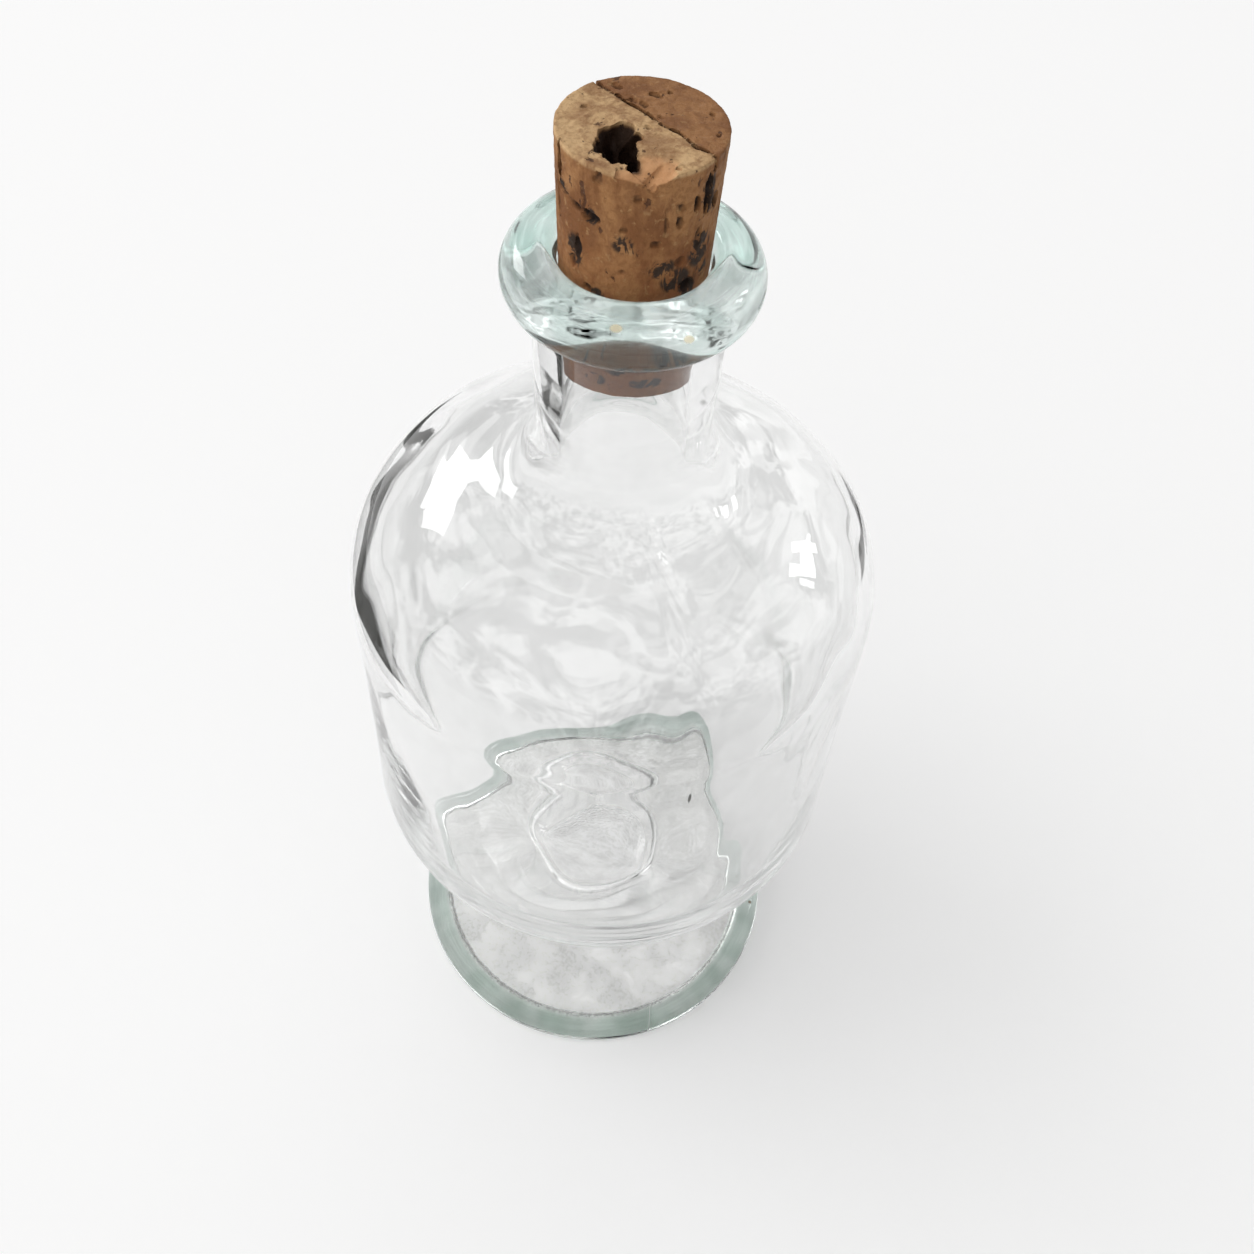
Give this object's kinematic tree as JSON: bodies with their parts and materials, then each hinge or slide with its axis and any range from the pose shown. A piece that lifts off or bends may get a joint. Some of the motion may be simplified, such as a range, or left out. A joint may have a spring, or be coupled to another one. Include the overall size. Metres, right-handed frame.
{
  "type": "glass bottle",
  "caption": "Thick clear glass bottle on a round foot, with a waisted stem, a rounded belly, a short neck with a rolled lip and a tapered natural cork that lifts out.",
  "frame": {"origin": "centre of the foot, on the surface that the bottle stands on", "axes": "+Z along the axis of the bottle, up out of the mouth"},
  "size_m": [0.0886, 0.0886, 0.2018],
  "materials": {
    "glass": "clear, with a faint grey-green tint and a wavy hand-made surface",
    "cork": "natural cork, matt, with dark pits and a broken top"
  },
  "bodies": {
    "bottle": {"bottle": "glass"},
    "cork": {"cork": "cork"}
  },
  "joints": [
    {"name": "cork_pull", "type": "slide", "parent": "bottle", "child": "cork", "axis": [0, 0, 1], "range_m": [0, 0.04]}
  ]
}
